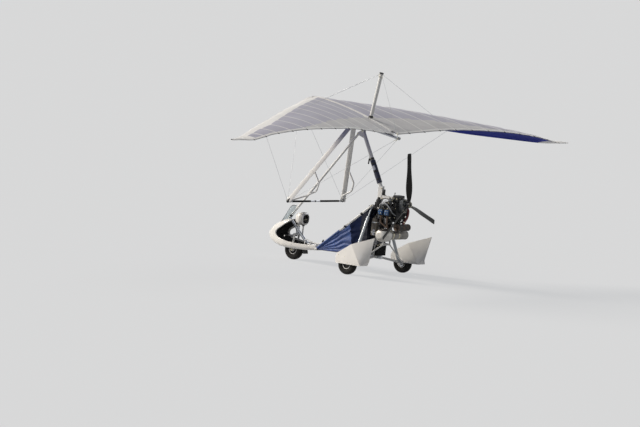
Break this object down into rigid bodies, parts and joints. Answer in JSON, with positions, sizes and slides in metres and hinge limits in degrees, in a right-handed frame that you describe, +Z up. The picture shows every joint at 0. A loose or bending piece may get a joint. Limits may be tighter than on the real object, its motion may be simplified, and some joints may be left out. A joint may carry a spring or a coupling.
{
  "type": "ultralight aircraft",
  "caption": "Weight-shift ultralight aircraft: a flexible wing that hangs on a tandem-seat trike with a nose pod, wheel spats and a pusher propeller.",
  "frame": {"origin": "on the floor, below the middle of the aircraft's length and span", "axes": "+X forward towards the nose, +Y to port along the span, +Z up"},
  "size_m": [2.835, 10.1, 3.422],
  "materials": {
    "white_tube": "satin",
    "white_shell": "gloss",
    "screen": "gloss",
    "blue_cloth": "matte",
    "seat_vinyl": "matte",
    "sail_cloth": "satin",
    "pocket_cloth": "satin",
    "bright_alloy": "satin",
    "cast_alloy": "satin",
    "blue_cover": "gloss",
    "black_plastic": "matte",
    "black_alloy": "matte",
    "steel": "satin",
    "tyre_rubber": "matte",
    "tank_plastic": "satin",
    "white_alloy": "satin"
  },
  "bodies": {
    "trike": {"keel_tube": "bright_alloy", "pylon": "white_tube", "mast": "white_alloy", "mast_pad": "blue_cloth", "front_strut": "white_alloy", "pod": "white_shell", "windscreen": "screen", "binnacle": "white_shell", "seat_front": "seat_vinyl", "seat_rear": "seat_vinyl", "fuel_tank": "tank_plastic", "seat_braces": "white_alloy", "side_panels": "blue_cloth", "axles": "white_tube", "gear_struts": "white_tube", "drag_stays": "white_tube", "spat_left": "white_shell", "spat_right": "white_shell", "crankcase": "cast_alloy", "cylinder_heads": "cast_alloy", "valve_covers": "blue_cover", "gearbox": "cast_alloy", "air_box": "black_plastic", "intake_pipes": "steel", "silencers": "steel", "exhaust_pipes": "steel", "engine_bearer": "white_tube", "oil_tank": "bright_alloy", "radiator": "black_alloy"},
    "fork": {"fork": "white_tube"},
    "front_wheel": {"front_tyre": "tyre_rubber", "front_rim": "white_tube"},
    "left_wheel": {"left_tyre": "tyre_rubber", "left_rim": "white_tube"},
    "right_wheel": {"right_tyre": "tyre_rubber", "right_rim": "white_tube"},
    "propeller": {"prop_hub": "cast_alloy", "prop_blades": "black_plastic"},
    "hang_block": {"hang_block": "bright_alloy"},
    "wing": {"wing_keel": "bright_alloy", "base_bar": "black_alloy", "downtubes": "white_alloy", "grip_bars": "white_alloy", "sail_left": "sail_cloth", "sail_right": "sail_cloth", "keel_pocket": "pocket_cloth", "kingpost": "white_alloy", "lower_wires": "steel", "upper_wires": "steel"}
  },
  "joints": [
    {"name": "front_steer", "type": "hinge", "parent": "trike", "child": "fork", "pos_m": [0.8982, 0, 0.52135], "axis": [-0.1392, 0, 0.9903], "range_deg": [-25, 25]},
    {"name": "front_wheel_spin", "type": "hinge", "parent": "fork", "child": "front_wheel", "pos_m": [0.934, 0, 0.172], "axis": [0, 1, 0], "continuous": true},
    {"name": "left_wheel_spin", "type": "hinge", "parent": "trike", "child": "left_wheel", "pos_m": [-0.786, 0.83, 0.172], "axis": [0, 1, 0], "continuous": true},
    {"name": "right_wheel_spin", "type": "hinge", "parent": "trike", "child": "right_wheel", "pos_m": [-0.786, -0.83, 0.172], "axis": [0, 1, 0], "continuous": true},
    {"name": "propeller_spin", "type": "hinge", "parent": "trike", "child": "propeller", "pos_m": [-1.341, 0, 1.257], "axis": [1, 0, 0], "continuous": true},
    {"name": "wing_pitch", "type": "hinge", "parent": "trike", "child": "hang_block", "pos_m": [-0.246, 0, 2.38], "axis": [0, -1, 0], "range_deg": [-20, 5]},
    {"name": "wing_roll", "type": "hinge", "parent": "hang_block", "child": "wing", "pos_m": [-0.25189, 0, 2.41754], "axis": [0.9879, 0, 0.155], "range_deg": [-20, 20]}
  ]
}
